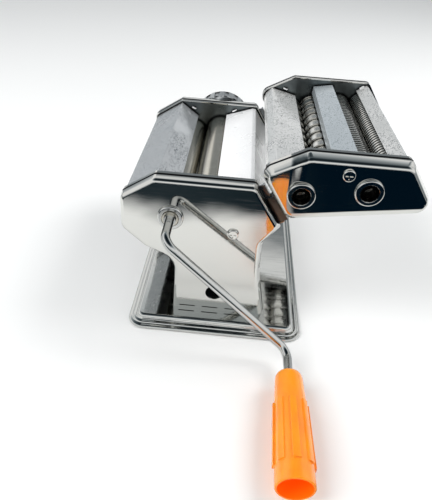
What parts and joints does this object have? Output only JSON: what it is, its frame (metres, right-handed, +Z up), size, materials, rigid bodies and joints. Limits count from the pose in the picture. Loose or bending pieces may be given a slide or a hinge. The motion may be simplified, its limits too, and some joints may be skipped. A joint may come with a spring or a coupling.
{
  "type": "pasta roller machine",
  "caption": "Hand-cranked dough roller on a pressed base, with smooth rollers, thickness dial and a hooked-on noodle cutter head.",
  "frame": {"origin": "on the table under the middle of the base", "axes": "+X from the roller hopper towards the cutter head, +Y along the rollers away from the crank, +Z up"},
  "size_m": [0.2171, 0.352, 0.1555],
  "materials": {
    "chromed_steel": "mirror",
    "polished_sheet": "polished, fine speckle",
    "nickel_plated_roller": "polished",
    "rubber_pad": "matte",
    "zinc_plated_steel": "satin",
    "chromed_rod": "mirror",
    "nylon": "moulded",
    "tempered_steel": "satin",
    "orange_grip_plastic": "moulded",
    "dial_metal": "satin"
  },
  "bodies": {
    "machine": {"base_plate": "chromed_steel", "base_feet": "rubber_pad", "base_screws": "zinc_plated_steel", "crank_side_plate": "chromed_steel", "dial_side_plate": "chromed_steel", "crank_side_cover": "chromed_steel", "dial_side_cover": "chromed_steel", "roller_bushes": "nylon", "crank_socket_bush": "chromed_rod", "tie_rods": "zinc_plated_steel", "cover_screws": "zinc_plated_steel", "frame_screws": "zinc_plated_steel", "left_hopper_sheet": "polished_sheet", "right_hopper_sheet": "polished_sheet", "fixed_roller_scraper": "tempered_steel", "dial_index_plate": "dial_metal", "guide_rails": "zinc_plated_steel"},
    "fixed_roller": {"fixed_roller": "nickel_plated_roller", "fixed_roller_gear": "tempered_steel"},
    "roller_carriage": {"eccentric_bushes": "nylon", "adjuster_yoke": "zinc_plated_steel", "movable_roller_scraper": "tempered_steel"},
    "movable_roller": {"movable_roller": "nickel_plated_roller", "movable_roller_gear": "tempered_steel"},
    "crank": {"crank_rod": "chromed_rod", "grip_washer": "zinc_plated_steel"},
    "grip": {"crank_grip": "orange_grip_plastic"},
    "dial_spindle": {"dial_shaft": "zinc_plated_steel"},
    "dial_knob": {"thickness_dial": "dial_metal"},
    "cutter_head": {"cutter_crank_side_plate": "chromed_steel", "cutter_far_side_plate": "chromed_steel", "cutter_crank_side_cover": "chromed_steel", "cutter_far_side_cover": "chromed_steel", "cutter_socket_bushes": "chromed_rod", "cutter_bearings": "nylon", "cutter_tie_rods": "zinc_plated_steel", "cutter_screws": "zinc_plated_steel", "cutter_left_sheet": "polished_sheet", "cutter_divider": "polished_sheet", "cutter_right_sheet": "polished_sheet", "cutter_head_hooks": "zinc_plated_steel", "wide_combs": "nylon", "fine_combs": "nylon"},
    "wide_cutter_driven": {"wide_cutter_driven": "nickel_plated_roller", "wide_gear_driven": "tempered_steel"},
    "wide_cutter_idle": {"wide_cutter_idle": "nickel_plated_roller", "wide_gear_idle": "tempered_steel"},
    "fine_cutter_driven": {"fine_cutter_driven": "nickel_plated_roller", "fine_gear_driven": "tempered_steel"},
    "fine_cutter_idle": {"fine_cutter_idle": "nickel_plated_roller", "fine_gear_idle": "tempered_steel"}
  },
  "joints": [
    {"name": "fixed_roller_spin", "type": "hinge", "parent": "machine", "child": "fixed_roller", "pos_m": [-0.0388, 0, 0.0959], "axis": [0, 1, 0], "continuous": true},
    {"name": "adjuster_slide", "type": "slide", "parent": "machine", "child": "roller_carriage", "axis": [0.9833, 0, 0.1822], "range_m": [-0.0011, 0.0014]},
    {"name": "movable_roller_spin", "type": "hinge", "parent": "roller_carriage", "child": "movable_roller", "pos_m": [-0.01186, 0, 0.10089], "axis": [0, 1, 0], "continuous": true},
    {"name": "crank_pull_out", "type": "slide", "parent": "fixed_roller", "child": "crank", "axis": [0, -1, 0], "range_m": [0, 0.03]},
    {"name": "grip_spin", "type": "hinge", "parent": "crank", "child": "grip", "pos_m": [0.057, 0, 0.014], "axis": [0, 1, 0], "continuous": true},
    {"name": "dial_turn", "type": "hinge", "parent": "machine", "child": "dial_spindle", "pos_m": [-0.01186, 0, 0.10089], "axis": [0, 1, 0], "range_deg": [-117, 149]},
    {"name": "dial_pull_out", "type": "slide", "parent": "dial_spindle", "child": "dial_knob", "axis": [0, 1, 0], "range_m": [0, 0.003], "stiffness_N_per_m": 900},
    {"name": "cutter_head_lift_off", "type": "slide", "parent": "machine", "child": "cutter_head", "axis": [-0.5419, 0, 0.8404], "range_m": [0, 0.035]},
    {"name": "wide_driven_spin", "type": "hinge", "parent": "cutter_head", "child": "wide_cutter_driven", "pos_m": [0.052, 0, 0.1263], "axis": [0, 1, 0], "continuous": true},
    {"name": "wide_idle_spin", "type": "hinge", "parent": "cutter_head", "child": "wide_cutter_idle", "pos_m": [0.07236, 0, 0.12945], "axis": [0, 1, 0], "continuous": true},
    {"name": "fine_driven_spin", "type": "hinge", "parent": "cutter_head", "child": "fine_cutter_driven", "pos_m": [0.0971, 0, 0.1333], "axis": [0, 1, 0], "continuous": true},
    {"name": "fine_idle_spin", "type": "hinge", "parent": "cutter_head", "child": "fine_cutter_idle", "pos_m": [0.11746, 0, 0.13645], "axis": [0, 1, 0], "continuous": true}
  ],
  "couplings": [
    {"joint": "movable_roller_spin", "follows": "fixed_roller_spin", "ratio": -1},
    {"joint": "dial_turn", "follows": "adjuster_slide", "rad_per_m": 1850},
    {"joint": "wide_idle_spin", "follows": "wide_driven_spin", "ratio": -1},
    {"joint": "fine_idle_spin", "follows": "fine_driven_spin", "ratio": -1}
  ]
}
